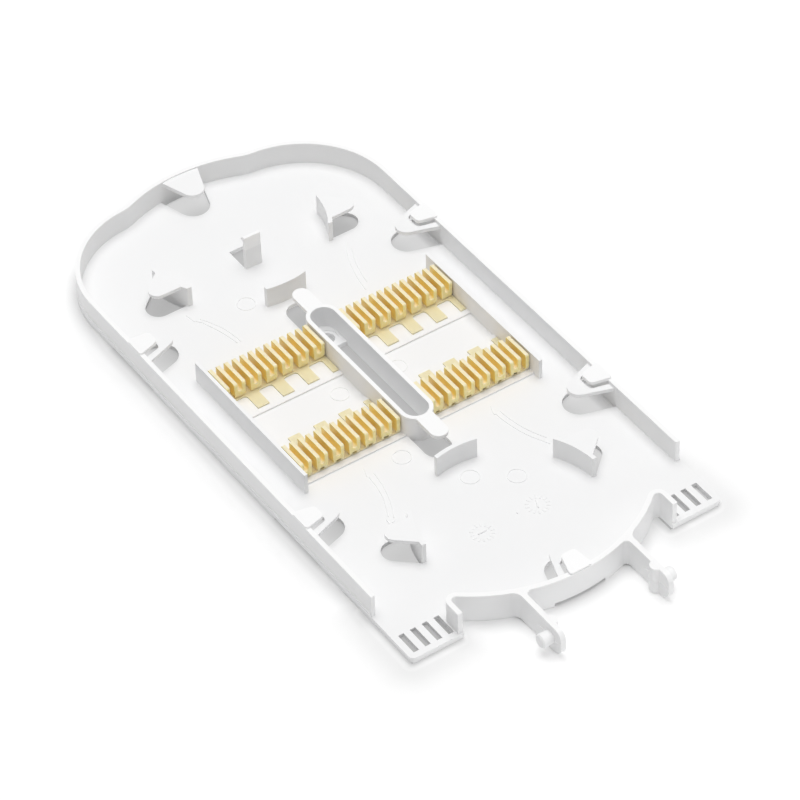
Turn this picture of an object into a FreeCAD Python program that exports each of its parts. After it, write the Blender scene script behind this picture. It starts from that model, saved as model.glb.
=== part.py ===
import FreeCAD, Part
import math
import os

# Fibre splice tray with four splice holders. All sizes in millimetres.
# X is the width, Y runs from the hinge axis towards the rounded rear end, Z is up.
# The model is drawn with Y measured from the hinge axis. At the end every piece is moved along Y,
# so that the origin lies on the resting plane in the middle of the overall length and width.

V = FreeCAD.Vector

# Heights
foot_rim_height = 0.6
floor_thickness = 1.2
floor_z = foot_rim_height + floor_thickness
wall_height = 6.8
inner_wall_height = 6.4
pad_height = 0.5
wall_top = floor_z + wall_height
inner_top = floor_z + inner_wall_height
pad_top = floor_z + pad_height

# Outer wall: inner half width, rear corner arcs, flatter middle arc and the hollow blend between them
inner_half_width = 46.0
wall_thickness = 1.3
rear_corner_radius = 27.0
rear_corner_y = 165.9
rear_middle_radius = 45.0
rear_middle_y = 152.2
rear_blend_radius = 10.0
wall_start_y = 33.0
wall_end_round = 0.5

# Narrow ledge along the foot of the outer wall, and the rim under the floor
ledge_proud = 0.2
ledge_height = 0.6
foot_rim_width = 1.5
foot_rim_inset = 0.15
outer_band_bottom = 1.0

# Front ears with tie slots
ear_front_y = 15.3
ear_corner_radius = 1.5
tie_slot_count = 4
tie_slot_width = 1.6
tie_slot_length = 6.8
tie_slot_pitch = 3.47
tie_slot_edge_gap = 0.3
tie_slot_y = 17.1

# Front recess: corner walls and the bowed wall that carries the hinge arms
recess_half_width = 32.0
front_wall_thickness = 1.4
front_arc_y = 57.75
front_arc_radius = 47.4
recess_corner_radius = 1.2
corner_wall_start_y = 15.8

# Hinge arms, half round ribs and pins
arm_outer_x = 17.1
arm_thickness = 1.5
arm_tip_reach = 4.5
arm_bottom = 0.4
arm_top_round = 2.6
arm_bottom_round = 3.4
arm_root_fillet_outer = 3.0
arm_root_fillet_inner = 1.4
arm_rib_y = 1.3
arm_rib_radius = 1.75
arm_rib_proud = 1.35
pin_radius = 1.95
pin_length = 3.2
pin_edge_chamfer = 0.35
pin_z = floor_z + 2.7

# Bays: their middle, the straight divider walls and the raised pads
bay_y = 104.4
divider_thickness = 1.0
divider_half_length = 25.95
pad_near = 5.3
pad_far = 23.6

# Centre spine: racetrack wall around a long slot, a screw seat and the two end tongues
spine_y = bay_y - 0.3
spine_inner_half_width = 3.5
spine_wall = 1.15
spine_inner_half_length = 24.9
spine_slot_rear = 15.9
spine_tongue_half_width = 2.5
spine_tongue_tip = 34.35
spine_tongue_thickness = 1.1
spine_opening_half_width = 3.95
spine_opening_rear = 36.6
spine_opening_front = 35.0
screw_hole_radius = 2.1
screw_hole_y = 20.05
screw_ring_radius = 3.0
screw_ring_depth = 0.25

# Retaining tongues on the outer wall with the openings under them
tongue_base = 5.8
tongue_depth = 10.1
tongue_tip_radius = 3.2
tongue_thickness = 1.1
tongue_drop = 1.0
rear_tongue_drop = 0.4
opening_base = 6.75
opening_depth = 11.3
opening_tip_radius = 4.5
rear_tongue_offset = 39.5
front_tongue_offset = 39.3

# Small clips raised over the tongues, two of them bent up a little towards their tips
clip_base = 3.5
clip_tip = 2.1
clip_reach = 4.8
clip_tip_radius = 1.3
clip_outer_radius = 0.8
clip_thickness = 1.0
clip_rise = 0.6
clip_slot_gap = 0.3
rear_left_clip_tilt = 6.0
front_clip_tilt = 10.0
rim_notch_half_length = 10.2
rim_notch_front_y = 66.8
rim_notch_rear_y = 145.4
front_notch_half_length = 7.7

# Curved fibre guides, all on one coil circle at each end
coil_offset = 65.3
coil_inner_radius = 25.7
guide_wall = 1.2
guide_near = 1.65
guide_far = 13.6
stop_wall_half_width = 6.2
guide_opening_low = 52.3
guide_opening_slope = 41.4
guide_opening_x = 39.5
guide_opening_tip_radius = 3.67
guide_tongue_gap = 1.1
guide_tongue_thickness = 1.0

# Latch post near the rear end
post_width = 5.2
post_top_width = 4.9
post_thickness = 1.0
post_height = 10.7
post_front_y = 55.4
post_nose_reach = 1.1
post_nose_height = 1.6
post_foot_height = 1.2
post_taper = 0.2
post_opening_length = 7.5

# Splice holder: base plate with fingers, one single fin and six U shaped pairs
pair_count = 6
fin_pitch = 2.46
fin_thickness = 1.05
holder_side_margin = 0.265
holder_half_width = fin_pitch * pair_count + fin_thickness / 2 + holder_side_margin
holder_gap = 0.125
holder_far = 21.7
holder_plate = 0.45
finger_root = 12.7
finger_tip = 7.0
finger_width = 3.5
finger_pitch = holder_half_width / 2
notch_round = 1.0
fin_near = 12.95
fin_far = 22.05
fin_top = 5.5
fin_top_chamfer = 0.3
pair_floor = 2.6
pair_draft = 0.12
pair_taper = 0.35
pair_taper_height = 1.9
pair_end_chamfer = 0.35
pair_end_chamfer_top = 1.5
tunnel_width = 1.3
tunnel_height = 1.0
tunnel_depth = 2.2
tunnel_drop = 0.1

# The bay is as wide as a holder with its gaps, between the spine and the divider
spine_outer = spine_inner_half_width + spine_wall
divider_inner_x = spine_outer + 2 * (holder_half_width + holder_gap)
divider_outer_x = divider_inner_x + divider_thickness

big = 60.0


def box(x0, x1, y0, y1, z0, z1):
    return Part.makeBox(x1 - x0, y1 - y0, z1 - z0, V(x0, y0, z0))


def disc(x, y, radius, z0, z1):
    return Part.makeCylinder(radius, z1 - z0, V(x, y, z0))


def line(a, b):
    return Part.LineSegment(V(a[0], a[1], 0), V(b[0], b[1], 0)).toShape()


def arc_edge(centre, radius, start, end):
    # Arc in the XY plane from angle start to angle end, in degrees, either way round
    points = []
    for share in (0.0, 0.5, 1.0):
        angle = math.radians(start + (end - start) * share)
        points.append(V(centre[0] + radius * math.cos(angle), centre[1] + radius * math.sin(angle), 0))
    return Part.Arc(points[0], points[1], points[2]).toShape()


def at(centre, radius, angle):
    turn = math.radians(angle)
    return (centre[0] + radius * math.cos(turn), centre[1] + radius * math.sin(turn))


def heading(a, b):
    return math.degrees(math.atan2(b[1] - a[1], b[0] - a[0]))


def solid_from(edges, z0, z1):
    wire = Part.Wire(Part.__sortEdges__(edges))
    face = Part.Face(wire)
    face.translate(V(0, 0, z0))
    return face.extrude(V(0, 0, z1 - z0))


def prism(points, run):
    # Flat face through the points, drawn out along the vector run
    return Part.Face(Part.makePolygon(points + points[:1])).extrude(run)


def rounded_polygon(corners, z0, z1):
    # Each corner is (x, y, radius), with radius 0 for a sharp one
    edges = []
    count = len(corners)
    ends = []
    for i in range(count):
        x, y, radius = corners[i]
        px, py = corners[i - 1][0], corners[i - 1][1]
        nx, ny = corners[(i + 1) % count][0], corners[(i + 1) % count][1]
        if radius <= 0:
            ends.append(((x, y), None, (x, y)))
            continue
        to_last = V(px - x, py - y, 0).normalize()
        to_next = V(nx - x, ny - y, 0).normalize()
        half = to_last.getAngle(to_next) / 2
        run = radius / math.tan(half)
        middle = (to_last + to_next).normalize()
        centre = V(x, y, 0) + middle * (radius / math.sin(half))
        first = V(x, y, 0) + to_last * run
        last = V(x, y, 0) + to_next * run
        ends.append(((first.x, first.y), centre - middle * radius, (last.x, last.y)))
    for i in range(count):
        first, through, last = ends[i]
        if through is not None:
            edges.append(Part.Arc(V(first[0], first[1], 0), through, V(last[0], last[1], 0)).toShape())
        start = last
        end = ends[(i + 1) % count][0]
        if math.hypot(end[0] - start[0], end[1] - start[1]) > 1e-6:
            edges.append(line(start, end))
    return solid_from(edges, z0, z1)


def side_flip(shape):
    return shape.mirror(V(0, 0, 0), V(1, 0, 0))


def end_flip(shape):
    return shape.mirror(V(0, bay_y, 0), V(0, 1, 0))


def spine_flip(shape):
    return shape.mirror(V(0, spine_y, 0), V(0, 1, 0))


def both_sides(shape):
    return [shape, side_flip(shape)]


def meeting_point(c1, r1, c2, r2, upper):
    # Where two circles cross, on the side with the larger y if upper is true
    dx = c2[0] - c1[0]
    dy = c2[1] - c1[1]
    gap = math.hypot(dx, dy)
    along = (r1 * r1 - r2 * r2 + gap * gap) / (2 * gap)
    side = math.sqrt(r1 * r1 - along * along)
    base = (c1[0] + along * dx / gap, c1[1] + along * dy / gap)
    one = (base[0] - side * dy / gap, base[1] + side * dx / gap)
    two = (base[0] + side * dy / gap, base[1] - side * dx / gap)
    if (one[1] > two[1]) == upper:
        return one
    return two


def body(grow, y0, z0, z1, front_radius=0.0):
    # Filled outline of the tray inside the outer wall, grown outwards by grow
    half = inner_half_width + grow
    corner = (inner_half_width - rear_corner_radius, rear_corner_y)
    middle = (0.0, rear_middle_y)
    blend = meeting_point(corner, rear_corner_radius + rear_blend_radius,
                          middle, rear_middle_radius + rear_blend_radius, True)
    r_corner = rear_corner_radius + grow
    r_middle = rear_middle_radius + grow
    r_blend = rear_blend_radius - grow
    turn_corner = heading(corner, blend)
    turn_middle = heading(middle, blend)
    left_corner = (-corner[0], corner[1])
    left_blend = (-blend[0], blend[1])
    edges = []
    edges.append(arc_edge(corner, r_corner, 0, turn_corner))
    edges.append(arc_edge(blend, r_blend, turn_corner - 180, turn_middle - 180))
    edges.append(arc_edge(middle, r_middle, turn_middle, 180 - turn_middle))
    edges.append(arc_edge(left_blend, r_blend, -turn_middle, -turn_corner))
    edges.append(arc_edge(left_corner, r_corner, 180 - turn_corner, 180))
    if front_radius > 0:
        low = y0 + front_radius
        edges.append(line((-half, corner[1]), (-half, low)))
        edges.append(arc_edge((-half + front_radius, low), front_radius, 180, 270))
        edges.append(line((-half + front_radius, y0), (half - front_radius, y0)))
        edges.append(arc_edge((half - front_radius, low), front_radius, 270, 360))
        edges.append(line((half, low), (half, corner[1])))
    else:
        edges.append(line((-half, corner[1]), (-half, y0)))
        edges.append(line((-half, y0), (half, y0)))
        edges.append(line((half, y0), (half, corner[1])))
    return solid_from(edges, z0, z1)


def recess(grow, z0, z1):
    # Open space between the ears, grown into the tray by grow
    half = recess_half_width + grow
    arc_centre = (0.0, front_arc_y)
    reach = recess_half_width - recess_corner_radius
    span = front_arc_radius + recess_corner_radius
    corner = (-reach, front_arc_y - math.sqrt(span * span - reach * reach))
    r_corner = recess_corner_radius + grow
    r_arc = front_arc_radius - grow
    turn = heading(corner, arc_centre)
    down = -big
    edges = []
    edges.append(line((-half, down), (-half, corner[1])))
    edges.append(arc_edge(corner, r_corner, 180, turn))
    edges.append(arc_edge(arc_centre, r_arc, turn + 180, 360 - turn))
    edges.append(arc_edge((-corner[0], corner[1]), r_corner, 180 - turn, 0))
    edges.append(line((half, corner[1]), (half, down)))
    edges.append(line((half, down), (-half, down)))
    return solid_from(edges, z0, z1)


def plate(inset, z0, z1):
    # Outline of the whole floor with the ears, drawn in by inset
    grow = wall_thickness + ledge_proud - inset
    whole = body(grow, ear_front_y + inset, z0, z1, ear_corner_radius - inset)
    bow = box(-recess_half_width, recess_half_width, 0, wall_start_y, z0, z1)
    return whole.fuse(bow).cut(recess(inset, z0 - 1, z1 + 1))


def place(shape, x, y, angle):
    # Turns a shape drawn at the origin that points to +Y, and moves it
    moved = shape.copy()
    moved.rotate(V(0, 0, 0), V(0, 0, 1), angle)
    moved.translate(V(x, y, 0))
    return moved


def tongue_outline(base, depth, tip_radius, z0, z1, back):
    # Rounded triangle that points to +Y, with its base on the X axis and carried back into the wall
    centre_y = depth - tip_radius
    gap = math.hypot(base, centre_y)
    turn = math.degrees(math.acos(tip_radius / gap)) - math.degrees(math.atan2(centre_y, base))
    touch = at((0, centre_y), tip_radius, turn)
    left = (-touch[0], touch[1])
    edges = []
    edges.append(line((base, -back), (base, 0)))
    edges.append(line((base, 0), touch))
    edges.append(arc_edge((0, centre_y), tip_radius, turn, 180 - turn))
    edges.append(line(left, (-base, 0)))
    edges.append(line((-base, 0), (-base, -back)))
    edges.append(line((-base, -back), (base, -back)))
    return solid_from(edges, z0, z1)


def clip_outline(grow, z0, z1, back, outer_radius):
    base = clip_base + grow
    tip = clip_tip + grow
    far = clip_reach + grow
    return rounded_polygon([(base, -back, outer_radius), (tip, far, clip_tip_radius),
                            (-tip, far, clip_tip_radius), (-base, -back, outer_radius)], z0, z1)


def ring(centre_y, radius, width, z0, z1):
    # Round wall about (0, centre_y), from which the guides and stops are cut
    return disc(0, centre_y, radius + width, z0, z1).cut(disc(0, centre_y, radius, z0 - 1, z1 + 1))


def racetrack(half_width, half_length, z0, z1):
    straight = half_length - half_width
    middle = box(-half_width, half_width, spine_y - straight, spine_y + straight, z0, z1)
    ends = [disc(0, spine_y + straight, half_width, z0, z1), disc(0, spine_y - straight, half_width, z0, z1)]
    return middle.fuse(ends).removeSplitter()


def end_tongue():
    # Straight tongue with a round tip on the rear end of the spine
    low = spine_y + spine_inner_half_length - spine_outer
    high = spine_y + spine_tongue_tip
    half = spine_tongue_half_width
    corners = [(-half, low, 0), (half, low, 0), (half, high, half - 0.01), (-half, high, half - 0.01)]
    tongue = rounded_polygon(corners, wall_top - spine_tongue_thickness, wall_top)
    return tongue.cut(racetrack(spine_inner_half_width + 0.1, spine_inner_half_length + 0.1, 0, big))


def spine_opening(reach, z0, z1):
    low = spine_y + spine_inner_half_length - spine_inner_half_width
    high = spine_y + reach
    half = spine_opening_half_width
    corners = [(-half, low, 0), (half, low, 0), (half, high, half - 0.01), (-half, high, half - 0.01)]
    return rounded_polygon(corners, z0, z1)


def guide_triangle(inset, z0, z1):
    # Rounded corner shape outside a rear guide, used for its opening and, drawn in, for its tongue
    low = bay_y + guide_opening_low + inset
    slope = math.radians(guide_opening_slope)
    # The sloping side passes through the sharp corner of the opening and is drawn in by inset
    shift = inset / math.sin(slope)
    corner_x = guide_opening_x - shift - inset / math.tan(slope)
    radius = guide_opening_tip_radius - inset
    far = 24.0
    top = (corner_x - far * math.cos(slope), low + far * math.sin(slope))
    return rounded_polygon([(coil_inner_radius * 0.6, low, 0), (corner_x, low, radius),
                            (top[0], top[1], 0)], z0, z1)


def wall_tongue(x, y, angle, top):
    outline = tongue_outline(tongue_base, tongue_depth, tongue_tip_radius, top - tongue_thickness, top,
                             wall_thickness * 0.5)
    return place(outline, x, y, angle)


def wall_opening(x, y, angle, low):
    outline = tongue_outline(opening_base, opening_depth, opening_tip_radius, low, floor_z + 1, 1)
    return place(outline, x, y, angle)


def rim_notch(x, y, angle, half_length):
    # Block across the foot rim, drawn along X and turned into place
    return place(box(-half_length, half_length, -3, 2, -1, outer_band_bottom), x, y, angle)


def wall_tongues():
    # Tongues, clips, the slots in the tongues and the floor openings: one list of each
    tongues = []
    clips = []
    slots = []
    openings = []
    low = floor_z - floor_thickness - 1
    spots = []
    front_y = bay_y - front_tongue_offset
    rear_y = bay_y + rear_tongue_offset
    spots.append((-inner_half_width, front_y, -90, 0))
    spots.append((-inner_half_width, rear_y, -90, rear_left_clip_tilt))
    spots.append((inner_half_width, front_y, 90, 0))
    spots.append((inner_half_width, rear_y, 90, 0))
    spots.append((0.0, front_arc_y - (front_arc_radius - front_wall_thickness), 0, front_clip_tilt))
    top = wall_top - tongue_drop
    for x, y, angle, tilt in spots:
        tongues.append(wall_tongue(x, y, angle, top))
        openings.append(wall_opening(x, y, angle, low))
        clip_top = wall_top + clip_rise
        clip = clip_outline(0, clip_top - clip_thickness, clip_top, wall_thickness, clip_outer_radius)
        clip.rotate(V(0, -wall_thickness, clip_top), V(1, 0, 0), tilt)
        clips.append(place(clip, x, y, angle))
        slots.append(place(clip_outline(clip_slot_gap, floor_z, top + 0.01, 0.01, 0), x, y, angle))
    end_y = rear_middle_y + rear_middle_radius
    tongues.append(wall_tongue(0, end_y, 180, wall_top - rear_tongue_drop))
    openings.append(wall_opening(0, end_y, 180, low))
    inside = body(0, 0, low, floor_z + 1).cut(recess(front_wall_thickness, low - 1, floor_z + 2))
    openings = [opening.common(inside) for opening in openings]
    return tongues, clips, slots, openings


def hinge_arm():
    # Right arm: a flat plate with a rounded tip, a half round rib inside and a pin outside
    inner_x = arm_outer_x - arm_thickness
    root_y = front_arc_y - math.sqrt((front_arc_radius - 0.5) ** 2 - arm_outer_x ** 2)
    tip_y = -arm_tip_reach
    profile = rounded_polygon([(tip_y, arm_bottom, arm_bottom_round), (root_y, arm_bottom, 0),
                               (root_y, wall_top, 0), (tip_y, wall_top, arm_top_round)], 0, arm_thickness)
    profile.rotate(V(0, 0, 0), V(1, 1, 1), 120)
    profile.translate(V(inner_x, 0, 0))
    rib = disc(inner_x - arm_rib_proud + arm_rib_radius, arm_rib_y, arm_rib_radius, arm_bottom, wall_top)
    rib = rib.common(box(0, inner_x + 0.5, -big, big, 0, wall_top))
    pin = Part.makeCylinder(pin_radius, pin_length + 0.5, V(arm_outer_x - 0.5, 0, pin_z), V(1, 0, 0))
    rim = [edge for edge in pin.Edges if edge.BoundBox.XMin > arm_outer_x + pin_length - 0.01]
    pin = pin.makeChamfer(pin_edge_chamfer, rim)
    return profile.fuse([rib, pin])


def post():
    # Upright latch with a nose at the top that looks to the rear
    half = post_width / 2
    top_half = post_top_width / 2
    y0 = bay_y + post_front_y
    y1 = y0 + post_thickness
    low = floor_z - 0.3
    top = floor_z + post_height
    nose_low = top - post_nose_height
    nose_y = y1 + post_nose_reach
    # Seen from the side first, then trimmed to the width, which is a little less at the top
    side_view = [V(-half, y0 - post_taper, low), V(-half, y0 - post_taper, floor_z),
                 V(-half, y0, floor_z + post_foot_height), V(-half, y0, top), V(-half, y1, top),
                 V(-half, nose_y, nose_low + post_nose_reach * 0.4), V(-half, y1, nose_low),
                 V(-half, y1, low)]
    front_view = [V(-half, y0 - 2, low), V(half, y0 - 2, low),
                  V(top_half, y0 - 2, top), V(-top_half, y0 - 2, top)]
    return prism(side_view, V(post_width, 0, 0)).common(prism(front_view, V(0, 6, 0)))


def make_tray():
    # Floor with a set back rim under it, and the notches in the rim below the clips
    floor = plate(0, outer_band_bottom, floor_z)
    low = plate(foot_rim_inset, 0, outer_band_bottom)
    low = low.cut(plate(foot_rim_inset + foot_rim_width, -1, foot_rim_height))
    notches = []
    for side in (-1, 1):
        for y in (rim_notch_front_y, rim_notch_rear_y):
            notches.append(rim_notch(side * inner_half_width, y, side * 90, rim_notch_half_length))
    notches.append(rim_notch(0, front_arc_y - front_arc_radius, 0, front_notch_half_length))
    floor = floor.fuse(low).cut(notches)

    # Pads under the splice holders
    pads = []
    for shape in both_sides(box(spine_outer - 0.3, divider_inner_x + 0.3, bay_y + pad_near, bay_y + pad_far,
                                floor_z - 0.3, pad_top)):
        pads.append(shape)
        pads.append(end_flip(shape))

    # Outer wall and front wall
    wall = body(wall_thickness, wall_start_y, floor_z - 0.3, wall_top)
    wall = wall.cut(body(0, wall_start_y - 5, floor_z - 1, wall_top + 1))
    ends = []
    for edge in wall.Edges:
        low = edge.BoundBox
        if low.YMax < wall_start_y + 0.01 and low.ZMax - low.ZMin > 1:
            if abs(abs(edge.CenterOfMass.x) - inner_half_width) < 0.01:
                ends.append(edge)
    wall = wall.makeFillet(wall_end_round, ends)
    ledge = body(wall_thickness + ledge_proud, wall_start_y, floor_z - 0.3, floor_z + ledge_height)
    ledge = ledge.cut(body(0.3, wall_start_y - 5, floor_z - 1, wall_top))
    front = recess(front_wall_thickness, 0, wall_top)
    front = front.cut(recess(0, -1, wall_top + 1))
    ends = box(recess_half_width - 1, big, -big * 2, corner_wall_start_y, -1, big)
    front = front.cut(both_sides(ends) + [notches[-1]])
    front = front.fuse(both_sides(hinge_arm())).removeSplitter()
    arm_sides = ((arm_outer_x, arm_root_fillet_outer), (arm_outer_x - arm_thickness, arm_root_fillet_inner))
    for x, radius in arm_sides:
        root_y = front_arc_y - math.sqrt(front_arc_radius ** 2 - x * x)
        roots = []
        for edge in front.Edges:
            middle = edge.CenterOfMass
            at_root = abs(abs(middle.x) - x) < 0.05 and abs(middle.y - root_y) < 0.05
            if at_root and edge.Length > wall_height:
                roots.append(edge)
        front = front.makeFillet(radius, roots)

    # Dividers, spine, guides and stops
    divider = box(divider_inner_x, divider_outer_x, bay_y - divider_half_length, bay_y + divider_half_length,
                  floor_z - 0.3, inner_top)
    spine_half_length = spine_inner_half_length + spine_wall
    spine = racetrack(spine_outer, spine_half_length, floor_z - 0.3, wall_top)
    spine = spine.cut(racetrack(spine_inner_half_width, spine_inner_half_length, floor_z, wall_top + 1))
    spine_tongue = end_tongue()
    coil_y = bay_y + coil_offset
    coil_ring = ring(coil_y, coil_inner_radius, guide_wall, floor_z - 0.3, inner_top)
    guide = coil_ring.common(box(0, big, coil_y - guide_far, coil_y - guide_near, 0, big))
    coil_outer = disc(0, coil_y, coil_inner_radius + guide_wall * 0.5, floor_z - 5, wall_top)
    coil_face = disc(0, coil_y, coil_inner_radius + guide_wall, floor_z - 5, wall_top)
    guide_tongue = guide_triangle(guide_tongue_gap, inner_top - guide_tongue_thickness, inner_top)
    guide_tongue = guide_tongue.cut(coil_outer)
    guide_opening = guide_triangle(0, floor_z - floor_thickness - 1, floor_z + 1).cut(coil_face)
    stop = coil_ring.common(box(-stop_wall_half_width, stop_wall_half_width, bay_y, coil_y, 0, big))

    tongues, clips, slots, openings = wall_tongues()
    added = pads + [wall, ledge, front, spine, spine_tongue, spine_flip(spine_tongue)]
    added += [stop, end_flip(stop), post()]
    added += both_sides(divider)
    for shape in both_sides(guide.fuse(guide_tongue)):
        added += [shape, end_flip(shape)]
    tongues = [tongue.cut(slots) for tongue in tongues]
    added += tongues + clips
    tray = floor.fuse(added)

    # Openings through the floor
    for shape in both_sides(guide_opening):
        openings += [shape, end_flip(shape)]
    spine_body = racetrack(spine_outer, spine_half_length, floor_z - 5, wall_top)
    openings.append(spine_opening(spine_opening_rear, -1, floor_z + 1).cut(spine_body))
    openings.append(spine_flip(spine_opening(spine_opening_front, -1, floor_z + 1)).cut(spine_body))
    half = post_width / 2
    post_back = bay_y + post_front_y + post_thickness
    openings.append(box(-half, half, post_back, post_back + post_opening_length, -1, floor_z + 1))
    slot = racetrack(spine_inner_half_width, spine_inner_half_length, -1, floor_z + 1)
    openings.append(slot.cut(box(-big, big, spine_y + spine_slot_rear, spine_y + big, -2, big)))
    screw_y = spine_y + screw_hole_y
    openings.append(disc(0, screw_y, screw_hole_radius, -1, floor_z + 1))
    openings.append(disc(0, screw_y, screw_ring_radius, floor_z - screw_ring_depth, floor_z + 1))
    for side in (-1, 1):
        for i in range(tie_slot_count):
            x = side * (inner_half_width - tie_slot_edge_gap - i * tie_slot_pitch)
            x0 = min(x, x - side * tie_slot_width)
            x1 = x0 + tie_slot_width
            openings.append(box(x0, x1, tie_slot_y, tie_slot_y + tie_slot_length, -1, floor_z + 1))
    return tray.cut(openings).removeSplitter()


def make_holder():
    # Drawn about the middle of its own width, fingers pointing to -Y, sitting on the plane z = 0
    half = holder_half_width
    corners = [(half, holder_far, 0), (-half, holder_far, 0)]
    starts = []
    for i in range(3):
        starts.append((i - 1) * finger_pitch - finger_width / 2)
    first_half_end = starts[0] - (finger_pitch - finger_width)
    corners += [(-half, finger_tip, 0), (first_half_end, finger_tip, 0),
                (first_half_end, finger_root, notch_round)]
    for start in starts:
        corners += [(start, finger_root, notch_round), (start, finger_tip, 0),
                    (start + finger_width, finger_tip, 0), (start + finger_width, finger_root, notch_round)]
    corners += [(-first_half_end, finger_root, notch_round), (-first_half_end, finger_tip, 0),
                (half, finger_tip, 0)]
    base = rounded_polygon(corners, 0, holder_plate)

    length = fin_far - fin_near
    fin_centre_first = -fin_pitch * pair_count
    pieces = []
    single_near = fin_centre_first - fin_thickness / 2
    pieces.append(box(single_near, single_near + fin_thickness, fin_near, fin_far, 0, fin_top))
    outer = (fin_pitch + fin_thickness) / 2
    inner = (fin_pitch - fin_thickness) / 2
    for i in range(pair_count):
        x = fin_centre_first + fin_pitch * (1.5 + 2 * i)
        # Cross section of a pair in the XZ plane: tapered foot, round channel floor
        foot = outer - pair_draft - pair_taper
        centre_z = pair_floor + inner
        half_section = [(foot, 0), (outer - pair_draft, pair_taper_height), (outer, fin_top),
                        (inner, fin_top), (inner, centre_z)]
        edges = [Part.LineSegment(V(x - foot, 0, 0), V(x + foot, 0, 0)).toShape()]
        for side in (-1, 1):
            for a, b in zip(half_section, half_section[1:]):
                low = V(x + side * a[0], 0, a[1])
                high = V(x + side * b[0], 0, b[1])
                edges.append(Part.LineSegment(low, high).toShape())
        channel = [V(x - inner, 0, centre_z), V(x, 0, pair_floor), V(x + inner, 0, centre_z)]
        edges.append(Part.Arc(channel[0], channel[1], channel[2]).toShape())
        face = Part.Face(Part.Wire(Part.__sortEdges__(edges)))
        face.translate(V(0, fin_near, 0))
        pieces.append(face.extrude(V(0, length, 0)))
    comb = pieces[0].fuse(pieces[1:])

    # Chamfers on the top ends and the feet of the fins, cut with long wedges
    cuts = []
    for y, way in ((fin_near, 1), (fin_far, -1)):
        top = [V(-big, y, fin_top - fin_top_chamfer), V(-big, y + way * fin_top_chamfer, fin_top),
               V(-big, y - way, fin_top + 1), V(-big, y - way, fin_top - fin_top_chamfer)]
        foot = [V(-big, y, pair_end_chamfer_top), V(-big, y + way * pair_end_chamfer, holder_plate),
                V(-big, y + way * pair_end_chamfer, -1), V(-big, y - way, -1),
                V(-big, y - way, pair_end_chamfer_top)]
        cuts.append(prism(top, V(2 * big, 0, 0)))
        cuts.append(prism(foot, V(2 * big, 0, 0)))
    comb = comb.cut(cuts)
    holder = base.fuse(comb)

    # Small tunnels under the pairs, open at the outer side
    tunnels = []
    for i in range(pair_count):
        x = fin_centre_first + fin_pitch * (1.5 + 2 * i)
        low = holder_plate - tunnel_drop
        tunnels.append(box(x - tunnel_width / 2, x + tunnel_width / 2, fin_far - tunnel_depth, fin_far + 1,
                           low, low + tunnel_height))
    return holder.cut(tunnels).removeSplitter()


def place_holder(holder, side, end):
    # The same part in each place, turned half round in the front row
    moved = holder.copy()
    if end < 0:
        moved.rotate(V(0, 0, 0), V(0, 0, 1), 180)
    moved.translate(V(side * (spine_outer + divider_inner_x) / 2, bay_y, pad_top))
    return moved


os.makedirs("parts", exist_ok=True)
rear_end_y = rear_middle_y + rear_middle_radius + wall_thickness + ledge_proud
to_middle = V(0, -(rear_end_y - arm_tip_reach) / 2, 0)
tray = make_tray()
tray.translate(to_middle)
tray.exportStep("parts/tray.step")
holder = make_holder()
names = {(-1, 1): "splice_holder_rear_left", (1, 1): "splice_holder_rear_right",
         (-1, -1): "splice_holder_front_left", (1, -1): "splice_holder_front_right"}
for (side, end), name in names.items():
    moved = place_holder(holder, side, end)
    moved.translate(to_middle)
    moved.exportStep("parts/" + name + ".step")
print("solids", len(tray.Solids), len(holder.Solids), "faces", len(tray.Faces), len(holder.Faces))
print("valid", tray.isValid(), holder.isValid(), tray.BoundBox)
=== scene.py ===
import bpy
import math
from mathutils import Matrix, Vector


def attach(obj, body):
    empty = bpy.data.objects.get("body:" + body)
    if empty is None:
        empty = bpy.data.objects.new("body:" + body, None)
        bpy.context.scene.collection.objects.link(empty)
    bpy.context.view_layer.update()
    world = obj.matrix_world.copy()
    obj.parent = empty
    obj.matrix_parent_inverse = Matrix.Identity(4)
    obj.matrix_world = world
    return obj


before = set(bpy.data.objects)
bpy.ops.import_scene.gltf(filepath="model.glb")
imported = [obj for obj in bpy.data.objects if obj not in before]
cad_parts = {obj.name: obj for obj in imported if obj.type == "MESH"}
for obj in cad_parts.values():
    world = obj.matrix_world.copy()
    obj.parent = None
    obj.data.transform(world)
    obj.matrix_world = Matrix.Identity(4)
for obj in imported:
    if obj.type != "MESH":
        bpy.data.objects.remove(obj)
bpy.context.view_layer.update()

scene = bpy.context.scene
scene.view_settings.view_transform = "Standard"

# Fibre splice tray. Lengths are in millimetres in the row frame, unless a comment says metres.
# Angles are in degrees.
MM = 0.001
FLOOR_TOP = 1.8
HINGE_Y = -97.1


def direction(azimuth, elevation):
    a = math.radians(azimuth)
    e = math.radians(elevation)
    return Vector((math.cos(e) * math.cos(a), math.cos(e) * math.sin(a), math.sin(e)))


# Camera, fitted to the outline of the tray in the photo
CAMERA_AZIMUTH = 237.0868
CAMERA_ELEVATION = 43.2739
CAMERA_ROLL = -2.0139
CAMERA_DISTANCE = 1050.36
CAMERA_TARGET = (2.08, -4.01, FLOOR_TOP)
CAMERA_LENS = 182.1
CAMERA_SENSOR = 36.0
# In metres
CAMERA_CLIP = (0.05, 20.0)


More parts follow.
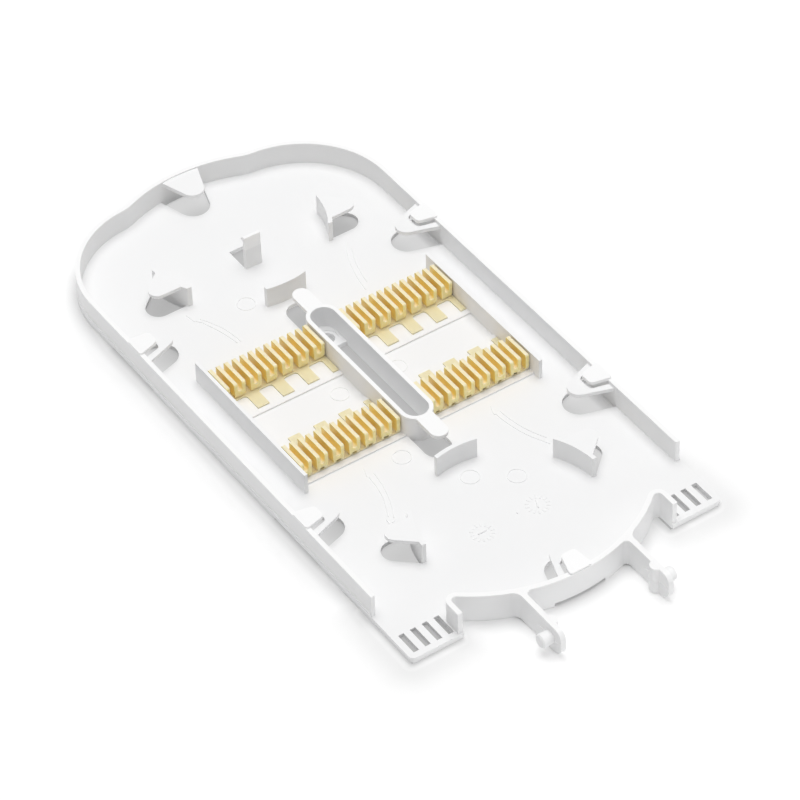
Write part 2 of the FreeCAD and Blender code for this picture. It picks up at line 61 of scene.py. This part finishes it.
def make_camera():
    back = direction(CAMERA_AZIMUTH, CAMERA_ELEVATION)
    right = (-back).cross(Vector((0, 0, 1))).normalized()
    up = right.cross(-back)
    turn = math.radians(CAMERA_ROLL)
    image_right = right * math.cos(turn) + up * math.sin(turn)
    image_up = up * math.cos(turn) - right * math.sin(turn)
    data = bpy.data.cameras.new("camera")
    data.sensor_width = CAMERA_SENSOR
    data.lens = CAMERA_LENS
    data.clip_start, data.clip_end = CAMERA_CLIP
    camera = bpy.data.objects.new("camera", data)
    turned = Matrix((image_right, image_up, back)).transposed().to_4x4()
    turned.translation = (Vector(CAMERA_TARGET) + back * CAMERA_DISTANCE) * MM
    camera.matrix_world = turned
    scene.collection.objects.link(camera)
    scene.camera = camera


# Helpers for shader nodes
MIX_SHARE, MIX_FIRST, MIX_SECOND, MIX_COLOUR = 0, 6, 7, 2


def new_material(name):
    material = bpy.data.materials.new(name)
    material.use_nodes = True
    tree = material.node_tree
    tree.nodes.clear()
    out = tree.nodes.new("ShaderNodeOutputMaterial")
    return material, tree, out


def add(tree, kind, **inputs):
    # A node with plain inputs; an underscore stands for the space in a socket's name
    node = tree.nodes.new(kind)
    for key, value in inputs.items():
        node.inputs[key.replace("_", " ")].default_value = value
    return node


def math_node(tree, operation, first, second=0.0):
    # Sockets or plain numbers, joined by one operation
    node = tree.nodes.new("ShaderNodeMath")
    node.operation = operation
    for i, value in enumerate((first, second)):
        if isinstance(value, float):
            node.inputs[i].default_value = value
        else:
            tree.links.new(value, node.inputs[i])
    return node.outputs[0]


def ramp(tree, value, start, end, low=0.0, high=1.0):
    # From low to high while the value runs from start to end
    node = add(tree, "ShaderNodeMapRange", From_Min=start, From_Max=end, To_Min=low, To_Max=high)
    tree.links.new(value, node.inputs["Value"])
    return node.outputs["Result"]


def fade(tree, length, span):
    # The same with soft ends; the length is in metres, the span holds two lengths and the level at each
    start, end, low, high = span
    result = ramp(tree, length, start * MM, end * MM, low, high)
    result.node.interpolation_type = "SMOOTHSTEP"
    return result


def colour_mix(tree, share, first, second):
    # Each colour is a socket or three numbers
    node = tree.nodes.new("ShaderNodeMix")
    node.data_type = "RGBA"
    tree.links.new(share, node.inputs[MIX_SHARE])
    for place, colour in ((MIX_FIRST, first), (MIX_SECOND, second)):
        if isinstance(colour, tuple):
            node.inputs[place].default_value = (*colour, 1)
        else:
            tree.links.new(colour, node.inputs[place])
    return node.outputs[MIX_COLOUR]


def split(tree, vector):
    node = tree.nodes.new("ShaderNodeSeparateXYZ")
    tree.links.new(vector, node.inputs[0])
    return node.outputs


def noise(tree, where, scale, detail=2.0, roughness=0.5):
    node = add(tree, "ShaderNodeTexNoise", Scale=scale, Detail=detail, Roughness=roughness)
    tree.links.new(where, node.inputs["Vector"])
    return node.outputs["Fac"]


def mould_grain(tree, where, scale, strength, depth):
    bump = add(tree, "ShaderNodeBump", Strength=strength, Distance=depth * MM)
    tree.links.new(noise(tree, where, scale, roughness=0.6), bump.inputs["Height"])
    return bump.outputs["Normal"]


# White plastic of the tray: two close shades in soft clouds, with painted light that makes the tops of
# the walls and clips whiter
WHITE_DIM = (0.875, 0.877, 0.880)
WHITE_BRIGHT = (0.900, 0.900, 0.901)
WHITE_PAINTED_TOP_LIGHT = (0.945, 0.945, 0.945)
WHITE_PAINTED_TOP_LIGHT_Z = (8.1, 8.5)
WHITE_ROUGHNESS = (0.34, 0.42)


def white_plastic():
    material, tree, out = new_material("white_plastic")
    link = tree.links.new
    shader = add(tree, "ShaderNodeBsdfPrincipled", IOR=1.48, Specular_IOR_Level=0.3)
    where = tree.nodes.new("ShaderNodeTexCoord").outputs["Object"]
    cloud = noise(tree, where, scale=35.0, detail=3.0)
    tint = colour_mix(tree, cloud, WHITE_DIM, WHITE_BRIGHT)
    # Painted light: above this height the tops of the walls and clips turn whiter
    start, end = WHITE_PAINTED_TOP_LIGHT_Z
    top = ramp(tree, split(tree, where)["Z"], start * MM, end * MM)
    link(colour_mix(tree, top, tint, WHITE_PAINTED_TOP_LIGHT), shader.inputs["Base Color"])
    link(ramp(tree, cloud, 0.0, 1.0, *WHITE_ROUGHNESS), shader.inputs["Roughness"])
    link(mould_grain(tree, where, scale=2600.0, strength=0.05, depth=0.05), shader.inputs["Normal"])
    link(shader.outputs["BSDF"], out.inputs["Surface"])
    return material


# Amber plastic of the splice holders, with painted light by face direction: pale on what faces up and on
# the base plate, and a painted glow, deep and warm, on the upright sides, for light caught between the
# clear fins
AMBER_GLOW_DEEP = (1.0, 0.735, 0.22)
AMBER_GLOW_WARM = (1.0, 0.785, 0.29)
AMBER_END = (1.0, 0.82, 0.42)
AMBER_TOP = (0.91, 0.82, 0.57)
AMBER_PLATE = (0.87, 0.765, 0.50)
AMBER_PLATE_Z = (2.8, 3.6)
# Share of the face normal that points up, or along the fins, where a tint starts and where it is full
AMBER_UP = (0.1, 0.9)
AMBER_ALONG = (0.5, 0.95)


def amber_plastic():
    material, tree, out = new_material("amber_plastic")
    link = tree.links.new
    shader = add(tree, "ShaderNodeBsdfPrincipled", Roughness=0.34, IOR=1.49, Specular_IOR_Level=0.4,
                 Subsurface_Weight=0.75, Subsurface_Radius=(1.0, 0.95, 0.8), Subsurface_Scale=1.0 * MM)
    # Painted light: the colour follows the way each face points, with pale tops and a painted glow on the
    # sides
    normal = split(tree, tree.nodes.new("ShaderNodeNewGeometry").outputs["True Normal"])
    faces_up = ramp(tree, normal["Z"], *AMBER_UP)
    faces_along = ramp(tree, math_node(tree, "ABSOLUTE", normal["Y"]), *AMBER_ALONG)
    where = tree.nodes.new("ShaderNodeTexCoord").outputs["Object"]
    side = colour_mix(tree, noise(tree, where, scale=220.0), AMBER_GLOW_DEEP, AMBER_GLOW_WARM)
    upright = colour_mix(tree, faces_along, side, AMBER_END)
    fin = colour_mix(tree, faces_up, upright, AMBER_TOP)
    start, end = AMBER_PLATE_Z
    on_plate = ramp(tree, split(tree, where)["Z"], start * MM, end * MM, 1.0, 0.0)
    link(colour_mix(tree, on_plate, fin, AMBER_PLATE), shader.inputs["Base Color"])
    link(mould_grain(tree, where, scale=1800.0, strength=0.04, depth=0.04), shader.inputs["Normal"])
    link(shader.outputs["BSDF"], out.inputs["Surface"])
    return material


# Raised lines on the tray, swept from sections of four points each
def sweep(verts, faces, sections, closed):
    first = len(verts)
    count = len(sections)
    for section in sections:
        verts += section
    for i in range(count if closed else count - 1):
        a = first + 4 * i
        b = first + 4 * ((i + 1) % count)
        faces += [(a + k, a + k + 1, b + k + 1, b + k) for k in range(3)]
    if not closed:
        last = first + 4 * (count - 1)
        faces.append((first, first + 3, first + 2, first + 1))
        faces.append((last, last + 1, last + 2, last + 3))


def white_piece(name, verts, faces):
    mesh = bpy.data.meshes.new(name)
    mesh.from_pydata([(x * MM, y * MM, z * MM) for x, y, z in verts], [], faces)
    mesh.validate()
    piece = bpy.data.objects.new(name, mesh)
    scene.collection.objects.link(piece)
    mesh.materials.append(white)
    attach(piece, "root")


# Marks on the tray floor: width at the foot and height of each kind of ridge
EJECTOR_RIDGE = (0.40, 0.14)
ARROW_RIDGE = (0.30, 0.15)
TICK_RIDGE = (0.60, 0.10)
POINTER_RIDGE = (0.48, 0.30)
STROKE_RIDGE = (0.40, 0.22)
RIDGE_SINK = 0.02
RIDGE_TOP_SHARE = 0.7

# Points of the marks, with Y measured from the hinge axis
EJECTOR_MARKS = [(-10.1, 148.0), (-9.5, 75.2), (0.5, 59.1), (10.4, 52.4), (-9.3, 104.1), (8.8, 104.1)]
EJECTOR_RADIUS = 2.5
EJECTOR_SIDES = 40
ROUTING_ARROWS = {
    "rear_left": [
        [(-25.6, 153.5), (-25.1, 150.3), (-24.7, 150.0), (-23.6, 148.4), (-22.5, 145.5), (-21.8, 143.2),
         (-21.1, 140.6), (-20.3, 136.3)],
        [(-23.4, 150.0), (-22.2, 147.9), (-21.2, 145.6), (-20.3, 143.3), (-19.7, 140.6), (-19.2, 136.3)]],
    "rear_right": [
        [(25.4, 153.2), (24.2, 151.3), (22.9, 148.7), (21.7, 145.8), (19.9, 139.6), (18.9, 133.9)],
        [(25.3, 150.2), (23.6, 146.6), (21.9, 141.2), (20.9, 136.4)]],
    "front_left": [
        [(-19.8, 77.3), (-20.8, 74.4)],
        [(-20.4, 74.1), (-20.6, 72.0), (-20.8, 69.9), (-21.3, 67.4), (-22.0, 64.9), (-24.5, 59.3)],
        [(-18.6, 74.6), (-19.0, 71.2), (-19.7, 67.7), (-21.2, 63.1), (-23.5, 58.3)],
        [(-25.5, 58.8), (-25.6, 57.0)],
        [(-23.7, 57.4), (-24.8, 57.0)]],
    "front_right": [
        [(19.8, 77.4), (18.9, 74.9), (18.9, 74.3), (19.2, 73.9), (19.4, 71.6), (19.8, 68.7), (20.4, 66.0),
         (21.3, 63.0), (22.3, 60.7), (24.1, 57.0)],
        [(20.7, 74.5), (20.9, 71.9), (21.5, 68.0), (22.4, 64.7), (23.5, 61.9), (24.7, 59.4)]]}
SMALL_STROKES = [[(2.5, 41.3), (2.7, 41.8)], [(-20.0, 57.9), (-20.8, 56.5)]]
DIALS = [(-8.5, 41.0), (8.6, 41.0)]
DIAL_INNER = 2.2
DIAL_OUTER = 3.3
DIAL_TICKS = 14
# The ends of each dial's pointer, from the middle of the dial
DIAL_POINTERS = [[(-1.25, 0.0), (1.25, 0.0)], [(0.5, 1.3), (-0.5, -1.0)]]


def from_hinge(points):
    return [(x, y + HINGE_Y) for x, y in points]


def ridges(name, lines, size):
    # Each line is its points and whether it is closed; its sides lean in a little
    width, height = size
    profile = ((1.0, -RIDGE_SINK), (RIDGE_TOP_SHARE, height),
               (-RIDGE_TOP_SHARE, height), (-1.0, -RIDGE_SINK))
    verts = []
    faces = []
    for points, closed in lines:
        count = len(points)
        sections = []
        for i, point in enumerate(points):
            if closed:
                run = Vector(points[(i + 1) % count]) - Vector(points[i - 1])
            else:
                run = Vector(points[min(i + 1, count - 1)]) - Vector(points[max(i - 1, 0)])
            side = Vector((-run.y, run.x)).normalized() * width / 2
            section = []
            for share, rise in profile:
                spot = Vector(point) + side * share
                section.append((spot.x, spot.y, FLOOR_TOP + rise))
            sections.append(section)
        sweep(verts, faces, sections, closed)
    white_piece(name, verts, faces)


def smooth_line(points, steps=5):
    # Soft curve through the points
    spots = [Vector(p) for p in points]
    spots = [spots[0] * 2 - spots[1]] + spots + [spots[-1] * 2 - spots[-2]]
    result = []
    for i in range(1, len(spots) - 2):
        a, b, c, d = spots[i - 1:i + 3]
        for k in range(steps):
            t = k / steps
            result.append(0.5 * (2 * b + (c - a) * t + (2 * a - 5 * b + 4 * c - d) * t * t
                                 + (3 * b - a - 3 * c + d) * t ** 3))
    result.append(spots[-2])
    return [(p.x, p.y) for p in result]


def on_circle(x, y, radius, share):
    turn = 2 * math.pi * share
    return (x + radius * math.cos(turn), y + radius * math.sin(turn))


def floor_marks():
    rings = []
    for x, y in from_hinge(EJECTOR_MARKS):
        ring = [on_circle(x, y, EJECTOR_RADIUS, i / EJECTOR_SIDES) for i in range(EJECTOR_SIDES)]
        rings.append((ring, True))
    ridges("ejector_marks", rings, EJECTOR_RIDGE)
    for name, arrow in ROUTING_ARROWS.items():
        lines = [(smooth_line(from_hinge(points)), False) for points in arrow]
        ridges("routing_arrow_" + name, lines, ARROW_RIDGE)
    ticks = []
    pointers = []
    for (x, y), pointer in zip(from_hinge(DIALS), DIAL_POINTERS):
        for i in range(DIAL_TICKS):
            share = (i + 0.5) / DIAL_TICKS
            ticks.append(([on_circle(x, y, DIAL_INNER, share), on_circle(x, y, DIAL_OUTER, share)], False))
        pointers.append(([(x + right, y + up) for right, up in pointer], False))
    ridges("dial_ticks", ticks, TICK_RIDGE)
    ridges("dial_pointers", pointers, POINTER_RIDGE)
    ridges("small_marks", [(from_hinge(stroke), False) for stroke in SMALL_STROKES], STROKE_RIDGE)


# Parting lines at the height of the hinge pins, on both faces of each arm, with Y from the hinge axis
PARTING_Z = 4.5
# How far each point of a section lies above the line and out of the face
PARTING_PROFILE = ((0.24, -0.02), (0.02, 0.17), (-0.06, 0.17), (-0.10, -0.02))
ARM_OUTER_X = 17.1
ARM_INNER_X = 15.6
OUTER_LINES_Y = ((5.1, 1.9), (-1.9, -4.0))
INNER_REAR_Y = (4.9, 3.05)
INNER_FRONT_Y = (-0.45, -4.0)
RIB_X = 16.0
RIB_Y = 1.3
RIB_RADIUS = 1.75
RIB_HALF_ANGLE = 72
RIB_STEPS = 10


def parting_lines():
    # Each path is a list of points with the way out of the face, on the right arm
    paths = [[((ARM_OUTER_X, y), (1, 0)) for y in line] for line in OUTER_LINES_Y]
    rib = []
    for i in range(RIB_STEPS + 1):
        turn = math.radians(RIB_HALF_ANGLE * (1 - 2 * i / RIB_STEPS))
        way = (-math.cos(turn), math.sin(turn))
        rib.append(((RIB_X + way[0] * RIB_RADIUS, RIB_Y + way[1] * RIB_RADIUS), way))
    paths.append([((ARM_INNER_X, y), (-1, 0)) for y in INNER_REAR_Y] + rib
                 + [((ARM_INNER_X, y), (-1, 0)) for y in INNER_FRONT_Y])
    verts = []
    faces = []
    for side in (1, -1):
        for path in paths:
            sections = [[(side * (x + out_x * rise), y + out_y * rise + HINGE_Y, PARTING_Z + up)
                         for up, rise in PARTING_PROFILE] for (x, y), (out_x, out_y) in path]
            sweep(verts, faces, sections, False)
    white_piece("parting_lines", verts, faces)


# Outline of the tray on the ground, from which the painted shadow is measured: a long round middle and the
# two front ears
OUTLINE_X = -1.0
MIDDLE_RADIUS = 45.8
MIDDLE_REAR_Y = 55.0
MIDDLE_FRONT_Y = -38.0
EAR_X = 39.35
EAR_Y = -71.0
EAR_HALF_WIDTH = 6.85
EAR_HALF_LENGTH = 10.4
# Places on the ground with painted light or shade of their own: painted shade below the slots of the ears,
# painted light below the slot of the spine and below the openings of the front guides, and spans that fade
# in round the hinge arms, where painted light makes the shadows paler
EAR_SLOTS_X = 32.5
EAR_SLOTS_Y = -59.5
SPINE_SLOT_X = 6.0
GUIDE_X = 28.0
GUIDE_Y = -47.0
GUIDE_HALF_WIDTH = 9.0
GUIDE_HALF_LENGTH = 8.0
ARM_ALONG = (-91.0, -83.0, 1.0, 0.0)
ARM_ACROSS = (22.0, 28.0, 1.0, 0.0)
ARM_OUTSIDE = (2.0, 7.0, 0.0, 1.0)


def ground_place(tree):
    # Metres beside the middle line of the outline, and metres along it
    place = split(tree, tree.nodes.new("ShaderNodeNewGeometry").outputs["Position"])
    across = math_node(tree, "ABSOLUTE", math_node(tree, "SUBTRACT", place["X"], OUTLINE_X * MM))
    return across, place["Y"]


def beyond(tree, value, middle, half):
    # Metres past either end of a stretch with this middle and half length, below zero inside it
    from_middle = math_node(tree, "ABSOLUTE", math_node(tree, "SUBTRACT", value, middle * MM))
    return math_node(tree, "SUBTRACT", from_middle, half * MM)


def outline_distance(tree, across, along):
    # Metres from the outline of the tray, below zero under the tray
    def calc(operation, first, second=0.0):
        return math_node(tree, operation, first, second)

    def length(first, second):
        return calc("SQRT", calc("ADD", calc("MULTIPLY", first, first), calc("MULTIPLY", second, second)))

    rear = calc("MAXIMUM", calc("SUBTRACT", along, MIDDLE_REAR_Y * MM))
    front = calc("MINIMUM", calc("SUBTRACT", along, MIDDLE_FRONT_Y * MM))
    middle = calc("SUBTRACT", length(across, calc("ADD", rear, front)), MIDDLE_RADIUS * MM)
    beside = beyond(tree, across, EAR_X, EAR_HALF_WIDTH)
    before = beyond(tree, along, EAR_Y, EAR_HALF_LENGTH)
    outside = length(calc("MAXIMUM", beside), calc("MAXIMUM", before))
    inside = calc("MINIMUM", calc("MAXIMUM", beside, before))
    return calc("MINIMUM", middle, calc("ADD", outside, inside))


def painted_light_and_shade_places(tree, across, along, distance):
    # Shares that are one below the ears (painted shade), below the front guides' openings and round the
    # hinge arms (painted light)
    def both(first, second):
        return math_node(tree, "MULTIPLY", first, second)

    def less(value, limit):
        return math_node(tree, "LESS_THAN", value, limit * MM)

    beside_slots = math_node(tree, "GREATER_THAN", across, EAR_SLOTS_X * MM)
    under_ear = both(both(beside_slots, less(along, EAR_SLOTS_Y)), less(distance, 0.0))
    under_guide = both(less(beyond(tree, across, GUIDE_X, GUIDE_HALF_WIDTH), 0.0),
                       less(beyond(tree, along, GUIDE_Y, GUIDE_HALF_LENGTH), 0.0))
    by_arm = both(both(fade(tree, along, ARM_ALONG), fade(tree, across, ARM_ACROSS)),
                  fade(tree, distance, ARM_OUTSIDE))
    return under_ear, under_guide, by_arm


# Studio floor with painted shadow and painted light: spans of the distance from the outline, and what the
# painted places add or take away
FLOOR_SIZE = 4000.0
FLOOR_DROP = 0.02
PAINTED_SHADOW_CLOSE = (-1.0, 2.5, 0.10, 0.84)
PAINTED_SHADOW_NEAR = (1.0, 12.0, 0.0, 0.15)
GLOW_UNDER = (-14.0, -4.0, 0.42, 0.62)
GLOW_EDGE = (-2.0, 3.0, 1.0, 0.02)
GLOW_OPEN = (10.0, 40.0, 0.0, 0.14)
FELT_PAINTED_SHADE = (-3.0, 0.0, 0.5, 0.95)
FELT_MOST = 0.95
ARM_DIFFUSE_CUT = 0.34
ARM_PAINTED_LIGHT = 0.37
GUIDE_PAINTED_LIGHT = 0.12
EAR_PAINTED_SHADE = 0.2


def seen_or_felt(tree, seen, felt, out):
    # The first shader for straight, mirrored and passed rays, which show the white studio, else the second
    rays = tree.nodes.new("ShaderNodeLightPath").outputs
    shows = math_node(tree, "MAXIMUM", rays["Is Camera Ray"], rays["Is Glossy Ray"])
    shows = math_node(tree, "MAXIMUM", shows, rays["Is Transmission Ray"])
    pick = tree.nodes.new("ShaderNodeMixShader")
    tree.links.new(shows, pick.inputs[0])
    tree.links.new(felt.outputs[0], pick.inputs[1])
    tree.links.new(seen.outputs[0], pick.inputs[2])
    tree.links.new(pick.outputs[0], out.inputs["Surface"])


def studio_white_painted_shadow():
    # White all round, with painted shade: grey under the tray and a painted soft shadow round it
    material, tree, out = new_material("studio_white_painted_shadow")
    link = tree.links.new
    across, along = ground_place(tree)
    distance = outline_distance(tree, across, along)
    under_ear, under_guide, by_arm = painted_light_and_shade_places(tree, across, along, distance)

    def joined(operation, first, second):
        return math_node(tree, operation, first, second)

    # What the ground returns of the light, with a painted soft shadow next to the tray
    ground_level = joined("ADD", fade(tree, distance, PAINTED_SHADOW_CLOSE), fade(tree, distance, PAINTED_SHADOW_NEAR))
    # Round the hinge arms painted light takes the place of part of the real light, so their shadows are
    # paler
    ground_level = joined("SUBTRACT", ground_level, joined("MULTIPLY", by_arm, ARM_DIFFUSE_CUT))
    # A glow is painted light that stands for light reaching the ground under the tray; it is low next to
    # the tray for the painted soft shadow, and keeps the open ground white
    outside = joined("ADD", fade(tree, distance, GLOW_EDGE), fade(tree, distance, GLOW_OPEN))
    glow_level = joined("MULTIPLY", fade(tree, distance, GLOW_UNDER), outside)
    glow_level = joined("ADD", glow_level, joined("MULTIPLY", by_arm, ARM_PAINTED_LIGHT))
    # Painted light below the openings of the front guides, painted shade below the slots of the ears
    glow_level = joined("ADD", glow_level, joined("MULTIPLY", under_guide, GUIDE_PAINTED_LIGHT))
    glow_level = joined("SUBTRACT", glow_level, joined("MULTIPLY", under_ear, EAR_PAINTED_SHADE))
    # What the ground returns to the tray, with painted shade: less under the tray, and all of it below the
    # slot of the spine
    under_slot = joined("LESS_THAN", across, SPINE_SLOT_X * MM)
    felt_level = joined("MAXIMUM", fade(tree, distance, FELT_PAINTED_SHADE), under_slot)

    ground = tree.nodes.new("ShaderNodeBsdfDiffuse")
    glow = add(tree, "ShaderNodeEmission", Color=(1, 1, 1, 1))
    felt = tree.nodes.new("ShaderNodeBsdfDiffuse")
    seen = tree.nodes.new("ShaderNodeAddShader")
    link(ground_level, ground.inputs["Color"])
    link(glow_level, glow.inputs["Strength"])
    link(joined("MINIMUM", felt_level, FELT_MOST), felt.inputs["Color"])
    link(ground.outputs[0], seen.inputs[0])
    link(glow.outputs[0], seen.inputs[1])
    seen_or_felt(tree, seen, felt, out)
    return material


def stage_floor():
    mesh = bpy.data.meshes.new("studio_floor")
    half = FLOOR_SIZE / 2 * MM
    corners = [(-half, -half, 0), (half, -half, 0), (half, half, 0), (-half, half, 0)]
    mesh.from_pydata(corners, [], [(0, 1, 2, 3)])
    floor = bpy.data.objects.new("studio_floor", mesh)
    floor.location.z = -FLOOR_DROP * MM
    scene.collection.objects.link(floor)
    mesh.materials.append(studio_white_painted_shadow())


# World and lamps, in metres and watts
WORLD_LIGHT = 0.42
KEY_AZIMUTH = 57
KEY_ELEVATION = 84
KEY_DISTANCE = 1.6
KEY_SIZE = 1.4
KEY_POWER = 17.9
CARD_WIDTH = 0.22
CARD_HEIGHT = 0.02
CARD_PLACE = (0.055, -0.32, 0.011)
CARD_POWER = 0.10


def studio_world():
    world = bpy.data.worlds.new("studio")
    world.use_nodes = True
    scene.world = world
    tree = world.node_tree
    tree.nodes.clear()
    out = tree.nodes.new("ShaderNodeOutputWorld")
    soft = add(tree, "ShaderNodeBackground", Color=(1, 1, 1, 1), Strength=WORLD_LIGHT)
    seen = add(tree, "ShaderNodeBackground", Color=(1, 1, 1, 1), Strength=1.0)
    seen_or_felt(tree, seen, soft, out)


def key_lamp():
    # A large soft light nearly overhead
    data = bpy.data.lights.new("key_lamp", "AREA")
    data.shape = "DISK"
    data.size = KEY_SIZE
    data.energy = KEY_POWER
    lamp = bpy.data.objects.new("key_lamp", data)
    toward = direction(KEY_AZIMUTH, KEY_ELEVATION)
    lamp.location = toward * KEY_DISTANCE
    lamp.rotation_mode = "QUATERNION"
    lamp.rotation_quaternion = toward.to_track_quat("Z", "Y")
    scene.collection.objects.link(lamp)


def front_card():
    # A low strip of light in front, that reaches the hinge arms and the front wall only
    data = bpy.data.lights.new("front_card", "AREA")
    data.shape = "RECTANGLE"
    data.size = CARD_WIDTH
    data.size_y = CARD_HEIGHT
    data.energy = CARD_POWER
    card = bpy.data.objects.new("front_card", data)
    card.location = CARD_PLACE
    card.rotation_euler = (math.radians(90), 0, 0)
    card.visible_camera = False
    scene.collection.objects.link(card)


make_camera()
white = white_plastic()
amber = amber_plastic()
for name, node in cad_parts.items():
    wanted = amber if name.startswith("splice_holder") else white
    for slot in node.material_slots:
        slot.material = wanted
    if not node.material_slots:
        node.data.materials.append(wanted)
floor_marks()
parting_lines()
stage_floor()
studio_world()
key_lamp()
front_card()
